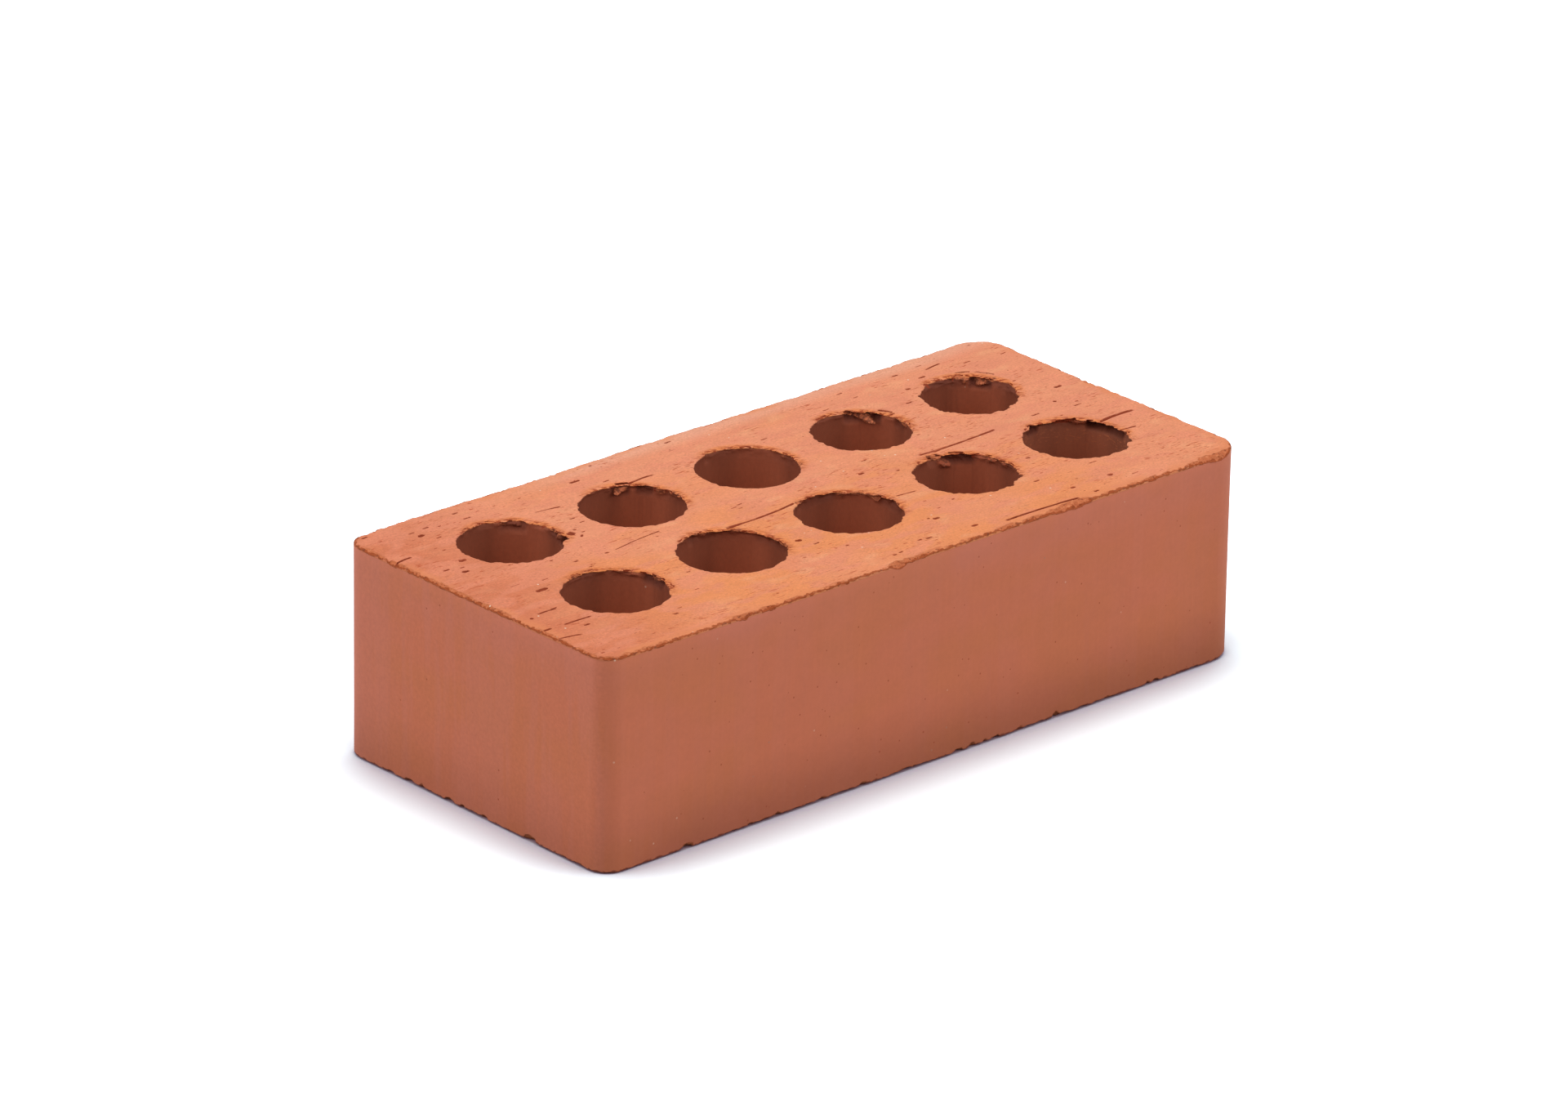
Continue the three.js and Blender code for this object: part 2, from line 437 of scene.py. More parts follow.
def squeezed(z, way):
    """Height with the plain middle squeezed (way 1) or drawn out again (way -1)."""
    middle = HEIGHT - FINE_TOP - FINE_FOOT
    real = [0, FINE_FOOT, FINE_FOOT + middle, HEIGHT]
    short = [0, FINE_FOOT, FINE_FOOT + middle / SQUEEZE, FINE_FOOT + middle / SQUEEZE + FINE_TOP]
    return np.interp(z, real, short) if way > 0 else np.interp(z, short, real)


def fused(piece):
    """One fine skin round everything that overlaps, with longer faces in the plain middle."""
    points = get_points(piece)
    points[:, 2] = squeezed(points[:, 2], 1)
    set_points(piece, points)
    apply_modifier(piece, "REMESH", mode="VOXEL", voxel_size=VOXEL)
    apply_modifier(piece, "SMOOTH", factor=0.5, iterations=1)
    points = get_points(piece)
    points[:, 2] = squeezed(points[:, 2], -1)
    set_points(piece, points)


def refined(piece, wanted):
    """Halves the faces whose middles are wanted."""
    middles = np.empty(len(piece.data.polygons) * 3, np.float32)
    piece.data.polygons.foreach_get("center", middles)
    chosen = wanted(middles.reshape(-1, 3).astype(float))
    edit_chosen(piece, "FACE", chosen, bpy.ops.mesh.subdivide, number_cuts=1)


# ---------------------------------------------------------------- where things are on the brick
def outline_distance(points):
    """Distance outside the brick's outline, and the way out."""
    radius = np.empty(len(points))
    sides = np.where(points[:, :2] >= 0, 1, -1)
    for corner, size in CORNER_RADII.items():
        radius[(sides == corner).all(axis=1)] = size
    past = np.abs(points[:, :2]) - np.array([LENGTH, WIDTH]) / 2 + radius[:, None]
    beyond = np.maximum(past, 0)
    reach = np.linalg.norm(beyond, axis=1)
    distance = reach + np.minimum(past.max(axis=1), 0) - radius
    way = np.where(reach[:, None] > 1e-9, beyond / np.maximum(reach, 1e-9)[:, None],
                   np.eye(2)[np.argmax(past, axis=1)])
    return distance, way * np.sign(points[:, :2])


def core_distances(points):
    """For each core: its description, distance outside its wall, the way out, and the bearing."""
    for name, place in core_places().items():
        core = CORES[name]
        away = points[:, :2] - np.array(place) - np.array(core["drift"]) * MM
        radius = np.linalg.norm(away, axis=1)
        yield (core, radius - core["radius"] * MM, away / np.maximum(radius, 1e-9)[:, None],
               np.degrees(np.arctan2(away[:, 1], away[:, 0])))


def bed_marks():
    """Every mark in the upper bed: (start, end, bow, width, depth, how ragged), in millimetres."""
    for scratch in SCRATCHES:
        yield (*scratch, 0.25)
    for start, end, width, deep in CREVICES + CRACKS:
        yield (start, end, 0.0, width, deep, 1.0)
    for x, y, length, width, deep in GOUGES + STRAYS:
        half = max(length - width, 0.02) / 2
        c, s = math.cos(DRAG_TURN), math.sin(DRAG_TURN)
        yield ((x - half * c, y - half * s), (x + half * c, y + half * s), 0.0, width, deep, 1.0)


def beside_line(flat, start, end, bow):
    """How far points lie past the ends of a bowed line, and how far across it."""
    length = np.linalg.norm(end - start)
    line = (end - start) / length
    away = flat - start
    along = away @ line
    across = away @ np.array([-line[1], line[0]]) - bow * 4 * (along / length) * (1 - along / length)
    return np.maximum(np.abs(along - length / 2) - length / 2, 0), across


def mark_depth(points, margin=0.0):
    """Depth of the marks in the upper bed under each point, in millimetres."""
    depth = np.zeros(len(points))
    high = np.flatnonzero(points[:, 2] > HEIGHT - 2 * MM)
    high = high[np.argsort(points[high, 0])]
    flat = points[high, :2] / MM
    uneven = 0.35 * noise(points[high], 0.7, SEED + 70) + 0.35 * noise(points[high], 2.1, SEED + 71)
    for start, end, bow, width, deep, ragged in bed_marks():
        start, end = np.array(start), np.array(end)
        low, top = min(start[0], end[0]), max(start[0], end[0])
        first, last = np.searchsorted(flat[:, 0], (low - width - margin, top + width + margin))
        past, across = beside_line(flat[first:last], start, end, bow)
        half = MARK_SPREAD * width / 2 * (1 + ragged * uneven[first:last]) + margin
        near = np.clip(1 - (past ** 2 + across ** 2) / half ** 2, 0, 1)
        picked = high[first:last]
        depth[picked] = np.maximum(depth[picked], deep * near ** 0.6)
    return depth


def scratch_across(points):
    """Distance of each point across the nearest scratch, in half widths of it, and from it in millimetres.

    The first runs straight through 0 at the middle, so that a thin line stays whole between points."""
    nearest = np.full(len(points), 99.0)
    value = np.full(len(points), 99.0)
    for start, end, bow, width, _ in SCRATCHES:
        past, across = beside_line(points[:, :2] / MM, np.array(start), np.array(end), bow)
        distance = np.hypot(past, across)
        closer = distance < nearest
        nearest[closer] = distance[closer]
        value[closer] = (across / (width / 2))[closer]
    return value, nearest


def rim_cracks():
    """Short cracks along the torn side of each mouth, where the wire lifted the clay."""
    chance = np.random.default_rng(SEED + 2)
    made = []
    for name, place in core_places().items():
        core = CORES[name]
        for _ in range(RIM_CRACKS):
            bearing = math.radians(chance.uniform(-25, 115))
            out = core["radius"] + chance.uniform(0.3, 1.2) * chance.uniform(0.4, 1)
            turn = bearing - math.pi / 2 + chance.normal(0, 0.25)
            half = chance.uniform(0.3, 1.0)
            x = place[0] / MM + core["drift"][0] + out * math.cos(bearing)
            y = place[1] / MM + core["drift"][1] + out * math.sin(bearing)
            dx, dy = half * math.cos(turn), half * math.sin(turn)
            width, deep = chance.uniform(0.3, 0.6), chance.uniform(0.15, 0.4)
            made.append(((x - dx, y - dy), (x + dx, y + dy), width, deep))
    return made


CRACKS = rim_cracks()


def stray_gouges():
    """Small gouges strewn over the bed, more of them at the left end and downwind of the cores."""
    chance = np.random.default_rng(SEED + 1)
    made = []
    while len(made) < STRAY_GOUGES:
        x, y = chance.uniform(-111, 111), chance.uniform(-50, 50)
        spot = np.array([[x, y, HEIGHT / MM]]) * MM
        keep = 0.35 + 0.65 * smoothstep(-x, 20, 100)
        for _, wall, _, bearing in core_distances(spot):
            if wall[0] < 1.2 * MM:
                keep = 0
            elif wall[0] < 7 * MM and abs(bearing[0] - 20) < 75:
                keep = max(keep, 0.9)
        if chance.uniform() < keep:
            size = chance.uniform() ** 2
            length = 0.6 + 2.6 * size * chance.uniform(0.5, 1)
            width = 0.3 + 0.5 * size * chance.uniform()
            made.append((x, y, length, width, 0.15 + 0.35 * size))
    return made


STRAYS = stray_gouges()


# ---------------------------------------------------------------- what the wire and handling did
def chip_depth(points, chips):
    """Depth of the chips at each point's place along the arris."""
    depth = np.zeros(len(points))
    for x, y, reach, deep in chips:
        away = np.linalg.norm(points[:, :2] - np.array([x, y]) * MM, axis=1) / (reach * MM)
        depth = np.maximum(depth, deep * MM * np.clip(1 - away ** 2, 0, 1) ** 0.7)
    return depth


def break_edges(points):
    """Breaks back the arrises and the mouths of the cores.

    Returns how far, in millimetres, each point lies past the torn clay, less than 0 where it is torn."""
    past = np.full(len(points), 100.0)
    grit = rough(points, 1.4, SEED + 20)
    lumps = rough(points, 6.0, SEED + 30)
    spread = noise(points, 24, SEED + 40)
    beds = ((HEIGHT - CROWN - points[:, 2], -1), (points[:, 2] - CROWN, 1))

    def cut(depth_in, way_in, size, height, down, lean=1.0):
        """Takes the corner off: size down the face, and lean times as far over the bed."""
        spare = depth_in / lean + height - size
        need = np.maximum(0, -spare) / (1 + 1 / lean ** 2)
        np.minimum(past, (spare + 0.5 * MM * (1 - smoothstep(size, 0.2 * MM, 0.7 * MM))) / MM, out=past)
        points[:, :2] += way_in * (need / lean)[:, None]
        points[:, 2] += down * need

    distance, way = outline_distance(points)
    for (height, down), chips, (usual, waver) in zip(beds, (TOP_CHIPS, FOOT_CHIPS), ARRIS_WEAR):
        size = (usual + waver * lumps + 0.16 * grit + 0.18 * spread) * MM
        size = np.maximum(size, chip_depth(points, chips) * (0.8 + 0.2 * lumps) + 0.4 * grit * MM)
        cut(-distance, -way, np.clip(size, 0.15 * MM, None), height, down, lean=1.7)

    for core, wall, outward, bearing in core_distances(points):
        depth = np.full(len(points), 0.12)
        for centre, half, deep in core["tears"]:
            turn = np.abs((bearing - centre + 180) % 360 - 180)
            depth = np.maximum(depth, deep * np.clip(1.15 - (turn / half) ** 2, 0, 1))
        size = (depth * (1 + 0.5 * lumps + 0.3 * grit) + 0.06 * grit) * MM
        beside = np.where(wall < 20 * MM, wall, 1.0)
        for (height, down), share in zip(beds, (1.0, 0.6)):
            cut(beside, outward, np.clip(size * share, 0.1 * MM, None), height, down)
    return past


def bed_relief(points, past, marks):
    """Waves and drag marks on both beds, rough torn clay, and the marks sunk in the upper bed."""
    dragged = turned(points, -DRAG_TURN)
    upper = smoothstep(points[:, 2], HEIGHT - 3 * MM, HEIGHT - 1.2 * MM)
    lower = 1 - smoothstep(points[:, 2], 1.2 * MM, 3 * MM)
    waves = 0.14 * noise(points, 38, SEED + 50) + 0.08 * noise(points, 14, SEED + 51)
    drag = 0.07 * noise(dragged, (17, 1.6, 9), SEED + 52) + 0.04 * noise(dragged, (6, 0.9, 9), SEED + 53)
    torn = 1 - smoothstep(past, -0.1, 0.3)
    lift = (waves + drag - 0.08) * MM + torn * 0.15 * rough(points, 1.2, SEED + 54) * MM
    lift = np.clip(lift, -0.6 * MM, CROWN)
    points[:, 2] += (upper - lower) * lift - upper * marks * MM


def skin_relief(points):
    """Long faint waves on the die's faces."""
    distance, way = outline_distance(points)
    skin = smoothstep(distance, -1.5 * MM, -0.5 * MM)
    sway = 0.12 * noise(points, (60, 60, 45), SEED + 60) - 0.12
    points[:, :2] += way * (skin * sway * MM)[:, None]


def deepest_around(bearing, places, shape):
    """The deepest of the places round a mouth, each of them (bearing, half width, depth)."""
    deepest = np.zeros(len(bearing))
    for centre, half, deep in places:
        turn = np.abs((bearing - centre + 180) % 360 - 180) / half
        deepest = np.maximum(deepest, deep * shape(turn))
    return deepest


def mouth_relief(points):
    """Ragged mouths, with the hollows under their rims and the bites out of them.

    Returns the painted shade, from 0 to 1, of each point in a hollow under the rim or under a lip drawn
    over the mouth."""
    under = HEIGHT - points[:, 2]
    hollow_shade = np.zeros(len(points))
    for number, (core, wall, outward, bearing) in enumerate(core_distances(points)):
        near = np.abs(wall) < MOUTH_REACH
        wall, outward, bearing = wall[near], outward[near], bearing[near]
        here, sunk = points[near], under[near]
        close = 1 - smoothstep(np.abs(wall), 1.4 * MM, 3.0 * MM)
        wide = 1 - smoothstep(np.abs(wall), 1.4 * MM, MOUTH_REACH)
        ragged = rough(here, (1.6, 1.6, 1.2), SEED + 65)
        scallops = rough(here, (2.0, 2.0, 3.0), SEED + 64)
        ring = np.column_stack([outward * core["radius"] * MM, here[:, 2] + number * 9 * MM])
        flakes = rough(ring, (3.2, 3.2, 0.9), SEED + 66, octaves=2)

        # the whole wall sways a little, and the mouth is scalloped or flaked
        sway = 0.14 * noise(here, (5, 5, 60), SEED + 62) + 0.05 * noise(here, (1.8, 1.8, 24), SEED + 63)
        mouth = 1 - smoothstep(np.minimum(sunk, here[:, 2]), 0.3 * MM, 2.5 * MM)
        torn_side = smoothstep(np.cos(np.radians(bearing - TORN_SIDE)), 0.1, 0.8)
        edge = 0.38 * (1 - 0.5 * torn_side) * scallops + 0.55 * torn_side * flakes
        sway += mouth * core["ragged"] * edge

        # clay torn out from under the rim
        hollow = deepest_around(bearing, core["hollows"], lambda turn: smoothstep(1.3 - turn, 0, 0.6))
        torn_out = smoothstep(sunk, 0.35 * MM, 0.9 * MM) * (1 - smoothstep(sunk, 1.4 * MM, 3.8 * MM))
        sway += hollow * torn_out * np.clip(0.8 + 0.4 * ragged, 0.2, 1.3)
        # painted shade in the hollow, fullest where the clay is torn out
        hollow_shade[near] = np.maximum(hollow_shade[near], np.clip(hollow, 0, 1) * torn_out ** 0.4 * close)

        # the rim drawn back or over the mouth, and bites out of it
        bite = deepest_around(bearing, core["bites"], lambda turn: np.clip(1.3 - turn ** 2, 0, 1))
        drawn = (1 - smoothstep(sunk, 0.3 * MM, 1.6 * MM)) * torn_side * core["lip"]
        drawn += (1 - smoothstep(sunk, 1.2 * MM, 4.0 * MM)) * bite * np.clip(0.9 + 0.4 * ragged, 0.3, 1.4)
        # painted shade under a lip that the wire drew over the mouth
        lip_shade = 0.6 * max(core["lip"], 0) * torn_side * (1 - smoothstep(sunk, 1.2 * MM, 3.0 * MM))
        hollow_shade[near] = np.clip(np.maximum(hollow_shade[near], lip_shade), 0, 1)
        points[near, :2] += outward * ((close * sway + wide * drawn) * MM)[:, None]
    return hollow_shade


def paint(piece, name, values):
    """Stores a value on each point, for the finish to read."""
    layer = piece.data.attributes.new(name, "FLOAT", "POINT")
    layer.data.foreach_set("value", np.ascontiguousarray(values, np.float32))


def torn_stretch(points):
    """Faces near the arrises and the mouths of the cores, which need a finer mesh."""
    high = points[:, 2] > HEIGHT - 3.2 * MM
    distance, _ = outline_distance(points)
    near = distance > -2.4 * MM
    for _, wall, _, _ in core_distances(points):
        near |= (wall > -4 * MM) & (wall < 2.6 * MM)
    return high & near


def marked(points):
    """Faces in and beside the marks in the upper bed."""
    return (points[:, 2] > HEIGHT - 1.5 * MM) & (mark_depth(points, margin=0.5) > 0)


def fired_brick():
    """The whole dressed brick, as one mesh."""
    brick = extruded_column()
    rods = core_rods()
    apply_modifier(brick, "BOOLEAN", operation="DIFFERENCE", solver="EXACT", object=rods)
    bpy.data.objects.remove(rods)
    brick = joined([brick] + tongues() + [crumbs()])
    fused(brick)
    refined(brick, torn_stretch)
    refined(brick, marked)
    refined(brick, marked)
    points = get_points(brick)
    marks = mark_depth(points) * smoothstep(points[:, 2], HEIGHT - 1.6 * MM, HEIGHT - 0.8 * MM)
    beside_core = np.full(len(points), 1.0)
    toward_lit_side = np.zeros(len(points))
    for _, wall, _, bearing in core_distances(points):
        toward_lit_side = np.where(wall < beside_core, np.cos(np.radians(bearing - LIT_SIDE)), toward_lit_side)
        beside_core = np.minimum(wall, beside_core)
    past = break_edges(points)
    bed_relief(points, past, marks)
    skin_relief(points)
    hollow_shade = mouth_relief(points)
    points = np.clip(points, np.array(LOW), np.array(HIGH))
    set_points(brick, points)
    paint(brick, "past_torn", past)
    paint(brick, "marks", np.clip(marks / FULL_MARK, 0, 1))
    paint(brick, "beside_core", beside_core / MM)
    paint(brick, "toward_lit_side", toward_lit_side)
    # painted shade in the hollows under the rims and under the drawn lips
    paint(brick, "hollow", hollow_shade)
    paint(brick, "off_face", -outline_distance(points)[0] / MM)
    apply_modifier(brick, "TRIANGULATE")
    apply_modifier(brick, "DECIMATE", ratio=FACES_KEPT / len(brick.data.polygons))
    points = np.clip(get_points(brick), np.array(LOW), np.array(HIGH))
    set_points(brick, points)
    across, away = scratch_across(points)
    paint(brick, "across_scratch", across)
    paint(brick, "off_scratch", away)
    only(brick)
    bpy.ops.object.shade_smooth_by_angle(angle=SHARP_ANGLE)
    apply_modifier(brick, "WEIGHTED_NORMAL", keep_sharp=True, weight=60)
    brick.name = brick.data.name = "fired_brick"
    return brick


# ---------------------------------------------------------------- finish
def paint_colour(red, green, blue):
    """A colour mixed from 8-bit screen values."""
    def linear(value):
        value /= 255
        return value / 12.92 if value <= 0.04045 else ((value + 0.055) / 1.055) ** 2.4
    return (linear(red), linear(green), linear(blue), 1)


# beds
BED_ROSY = paint_colour(235, 150, 113)
BED_ORANGE = paint_colour(235, 146, 94)
BED_PINK = paint_colour(230, 142, 110)
BED_SHADED_END = paint_colour(214, 123, 87)
BED_PALE = paint_colour(242, 168, 124)
BED_BACK_EDGE = paint_colour(240, 178, 150)
BY_ARRIS = paint_colour(230, 140, 92)
RIM = paint_colour(234, 138, 78)
RIM_BROWN = paint_colour(168, 76, 42)
# faces
SKIN = paint_colour(208, 118, 87)
SKIN_WARM = paint_colour(206, 118, 83)
SKIN_ROSY = paint_colour(207, 123, 101)
# cores
CORE_WALL = paint_colour(147, 74, 50)
CORE_WALL_LIT_DEEP = paint_colour(204, 113, 79)
CORE_DUST = paint_colour(158, 104, 78)
HOLLOW_SHADE = paint_colour(92, 36, 20)
# torn clay, arrises and tongues
TORN = paint_colour(210, 120, 78)
# painted shade in the crevices and hollows of torn clay
TORN_CREVICE_SHADE = paint_colour(132, 68, 44)
CRUMB = paint_colour(232, 148, 102)
ARRIS = paint_colour(206, 116, 74)
ARRIS_SHADE_LINE = paint_colour(168, 79, 38)
FOOT_SHADE = paint_colour(112, 54, 40)
TONGUE = paint_colour(198, 108, 70)
TONGUE_DULL = paint_colour(176, 88, 58)
# marks and sand
GOUGE = paint_colour(146, 56, 27)
SCRATCH = paint_colour(150, 62, 34)
DOT = paint_colour(190, 90, 54)
GRAIN = paint_colour(246, 212, 186)


class Finish:
    """A material under construction: adds shader nodes and wires them."""

    def __init__(self, name):
        self.material = bpy.data.materials.new(name)
        self.material.use_nodes = True
        self.tree = self.material.node_tree
        self.tree.nodes.clear()

    def node(self, kind, inputs, **settings):
        node = self.tree.nodes.new("ShaderNode" + kind)
        for name, value in settings.items():
            setattr(node, name, value)
        for name, value in inputs.items():
            self.fill(node.inputs[name], value)
        return node

    def fill(self, socket, value):
        if isinstance(value, bpy.types.NodeSocket):
            self.tree.links.new(value, socket)
        else:
            socket.default_value = value

    def attribute(self, name):
        return self.node("Attribute", {}, attribute_name=name).outputs["Fac"]

    def place(self, scale, turn=0.0, shift=0.0):
        """Object coordinates in grains of a size in millimetres, one size or one for each axis."""
        place = self.node("TexCoord", {}).outputs["Object"]
        if turn:
            place = self.node("Mapping", {"Vector": place, "Rotation": (0, 0, turn)}).outputs["Vector"]
        grain = [1 / (size * MM) for size in np.broadcast_to(scale, 3)]
        return self.node("Mapping", {"Vector": place, "Scale": grain,
                                     "Location": (shift, shift, shift)}).outputs["Vector"]

    def noise(self, scale, turn=0.0, detail=2.0, shift=0.0):
        """Noise from about 0 to 1, with grains of a size in millimetres; shift picks another stretch."""
        return self.node("TexNoise", {"Vector": self.place(scale, turn, shift), "Scale": 1.0,
                                      "Detail": detail}).outputs["Fac"]

    def step(self, value, start, end, low=0.0, high=1.0):
        """The value brought from start..end to low..high, with nothing past them."""
        return self.node("MapRange", {"Value": value, "From Min": start, "From Max": end, "To Min": low,
                                      "To Max": high}, interpolation_type="SMOOTHSTEP").outputs["Result"]

    def patches(self, scale, ramp, turn=0.0, detail=2.0, shift=0.0):
        """Noise brought to a ramp of step: (start, end), or (start, end, low, high)."""
        return self.step(self.noise(scale, turn, detail, shift), *ramp)

    def maths(self, operation, a, b):
        node = self.tree.nodes.new("ShaderNodeMath")
        node.operation = operation
        self.fill(node.inputs[0], a)
        self.fill(node.inputs[1], b)
        return node.outputs[0]

    def times(self, first, *others):
        for other in others:
            first = self.maths("MULTIPLY", first, other)
        return first

    def plus(self, a, b):
        return self.maths("ADD", a, b)

    def mix(self, share, a, b, blend="MIX"):
        node = self.tree.nodes.new("ShaderNodeMix")
        node.data_type = "RGBA"
        node.blend_type = blend
        for index, value in ((0, share), (6, a), (7, b)):
            self.fill(node.inputs[index], value)
        return node.outputs[2]

    def shaded(self, colour, value, low, high):
        """The colour made darker and lighter by a value from 0 to 1."""
        grey = self.node("MapRange", {"Value": value, "To Min": low, "To Max": high}, clamp=False)
        return self.mix(1.0, colour, grey.outputs["Result"], "MULTIPLY")

    def mottled(self, colour, *grains):
        """The colour shaded by grains, each of them (value, low, high)."""
        for value, low, high in grains:
            colour = self.shaded(colour, value, low, high)
        return colour

    def coated(self, colour, *coats):
        """The colour under coats of others, each of them (share, colour), with the last on top."""
        for share, coat in coats:
            colour = self.mix(share, colour, coat)
        return colour

    def bump(self, height, distance, strength):
        """A surface that rises by the distance, in millimetres, where the height is 1."""
        return self.node("Bump", {"Height": height, "Distance": distance * MM,
                                  "Strength": strength}).outputs["Normal"]


class Clay(Finish):
    """The brick's clay, with the places, attributes and grains that its finishes share."""

    def __init__(self):
        super().__init__("fired_clay")
        place = self.node("SeparateXYZ", {"Vector": self.node("TexCoord", {}).outputs["Object"]})
        self.x, self.y, self.z = (place.outputs[axis] for axis in "XYZ")
        self.past_torn = self.attribute("past_torn")
        self.beside_core = self.attribute("beside_core")
        self.off_face = self.attribute("off_face")
        self.toward_lit_side = self.attribute("toward_lit_side")
        self.torn = self.step(self.past_torn, 0.25, -0.1)
        self.grit = self.noise(0.55, shift=7.0)
        self.streaks = self.noise((9, 0.7, 3), DRAG_TURN, shift=5.0)
        self.hollows = self.noise((0.9, 0.9, 0.7), shift=17.0)
        self.uneven = self.patches(1.6, (0.3, 0.7, -0.35, 0.35), shift=29.0)
        self.bed = self.bed_share()

    def run(self, value, start, end, low=0.0, high=1.0):
        """A step between two places, in millimetres."""
        return self.step(value, start * MM, end * MM, low, high)

    def below(self, start, end):
        """A step between two depths below the upper bed, in millimetres."""
        return self.step(self.z, HEIGHT - start * MM, HEIGHT - end * MM)

    def bed_share(self):
        """1 where the wire cut: on the beds, and not on the faces or inside the cores."""
        under = self.times(self.run(self.z, 1.3, 0.9), self.step(self.off_face, 0.4, 0.9))
        brink = self.plus(self.below(0.75, 0.45), self.run(self.z, 0.75, 0.45))
        outside = self.maths("MAXIMUM", self.step(self.beside_core, 0.0, 0.3), brink)
        return self.times(self.plus(self.below(1.3, 0.9), under), outside)


def cut_bed(clay):
    """Wire-cut bed: rosy towards the back, orange towards the front, darker at the left end."""
    x, y = clay.x, clay.y
    clouds = clay.noise((38, 22, 30), DRAG_TURN, detail=1.0)
    orange = clay.plus(clay.run(y, 40, -40, 0.0, 0.65), clay.step(clouds, 0.35, 0.65, -0.2, 0.35))
    orange = clay.times(orange, clay.run(x, 85, 40, 0.35, 1.0))
    end = clay.times(clay.run(x, -60, -112), clay.step(clouds, 0.2, 0.5, 0.6, 1.0))
    pink = clay.patches((10, 5, 8), (0.46, 0.64, 0.0, 0.6), DRAG_TURN, detail=1.0, shift=2.0)
    pale = clay.times(clay.patches((9, 5, 8), (0.56, 0.74), DRAG_TURN, detail=1.0, shift=41.0),
                      clay.run(x, -90, -40, 0.12, 0.45))
    back_edge = clay.times(clay.run(clay.plus(y, clay.times(clouds, 4 * MM)), 45, 53, 0.0, 0.65),
                           clay.run(x, -75, -25, 0.1, 1.0))
    rim = clay.patches((4, 2.4, 4), (0.35, 0.55, 0.3, 1.0), DRAG_TURN, detail=1.0, shift=4.0)
    rim = clay.times(clay.step(clay.beside_core, 3.6, 0.6), clay.step(clay.toward_lit_side, 0.0, 0.7), rim, 0.85)
    colour = clay.mix(clay.step(orange, 0.0, 1.0), BED_ROSY, BED_ORANGE)
    return clay.coated(colour, (end, BED_SHADED_END), (pink, BED_PINK), (pale, BED_PALE),
                       (back_edge, BED_BACK_EDGE), (rim, RIM))


def rubbed_bed(clay, colour):
    """The wire's finer traces on a bed: streaks, grit, nicks, flecks and a brown fringe at each rim."""
    colour = clay.mottled(colour, (clay.noise((13, 7, 10), DRAG_TURN, shift=3.0), 0.93, 1.07),
                          (clay.streaks, 0.965, 1.035),
                          (clay.noise((1.6, 0.6, 1.0), DRAG_TURN, shift=43.0), 0.92, 1.08))
    gritty = clay.patches((8, 5, 6), (0.35, 0.6, 0.65, 1.0), DRAG_TURN, detail=1.0, shift=8.0)
    nicks = clay.times(clay.patches((2.2, 0.5, 1.5), (0.68, 0.76), DRAG_TURN, detail=1.0, shift=23.0),
                       clay.patches((16, 10, 12), (0.4, 0.6, 0.15, 0.6), detail=0.0, shift=25.0))
    flecks = clay.times(clay.patches((2.6, 0.55, 0.8), (0.6, 0.7), DRAG_TURN, detail=1.0, shift=31.0),
                        clay.patches((14, 8, 8), (0.48, 0.64, 0.0, 0.8), detail=1.0, shift=33.0))
    fringe = clay.times(clay.step(clay.beside_core, 2.6, 0.5), clay.step(clay.toward_lit_side, 0.0, 0.5))
    dashes = clay.patches((1.8, 0.5, 0.6), (0.48, 0.56, 0.0, 0.95), RIM_TURN, shift=27.0)
    by_arris = clay.times(clay.step(clay.past_torn, 2.4, 0.2), clay.step(clay.beside_core, 3.0, 5.0),
                          clay.patches((14, 14, 8), (0.4, 0.6, 0.1, 0.7), detail=1.0, shift=35.0))
    return clay.coated(colour, (gritty, clay.shaded(colour, clay.grit, 0.72, 1.28)), (nicks, SCRATCH),
                       (flecks, DOT), (clay.times(fringe, dashes), RIM_BROWN), (by_arris, BY_ARRIS))


def die_skin(clay):
    """Die skin on the faces: smooth, streaked up and down, with a rosier band below the upper arris."""
    clouds = clay.noise((30, 30, 14), detail=1.0, shift=9.0)
    rosy_band = clay.times(clay.below(16, 1), clay.step(clouds, 0.25, 0.6, 1.0, 0.35), 0.6)
    end_face = clay.step(clay.x, -LENGTH / 2 + 3 * MM, -LENGTH / 2 + 1 * MM)
    bands = clay.times(clay.patches((5, 5, 60), (0.42, 0.62, 0.0, 0.4), shift=47.0),
                       clay.step(end_face, 0.0, 1.0, 0.35, 1.0))
    back = clay.times(end_face, clay.run(clay.y, 24, 52, 0.0, 0.8))
    colour = clay.mix(clay.step(clouds, 0.35, 0.65), SKIN, SKIN_WARM)
    colour = clay.coated(colour, (rosy_band, SKIN_ROSY), (bands, SKIN_ROSY), (back, SKIN_ROSY))
    colour = clay.mottled(colour, (clay.noise((1.1, 1.1, 30), shift=11.0), 0.975, 1.025),
                          (clay.noise((6, 6, 4), shift=13.0), 0.96, 1.04),
                          (clay.noise(1.2, shift=14.0), 0.955, 1.045))
    coarse = clay.shaded(colour, clay.noise(0.9, detail=1.0, shift=16.0), 0.92, 1.07)
    colour = clay.shaded(clay.mix(end_face, colour, coarse), clay.below(5, 1), 1.0, 1.06)
    # painted shade: the faces darker towards the foot, more on the long faces than on the end face
    low = clay.run(clay.z, 0, 22)
    colour = clay.mix(clay.run(clay.x, -80, -110), clay.shaded(colour, low, 0.74, 1.03),
                      clay.shaded(colour, low, 0.87, 1.03))
    # painted shade: darker towards the right end
    return clay.shaded(colour, clay.run(clay.x, 84, 112), 1.0, 0.92)


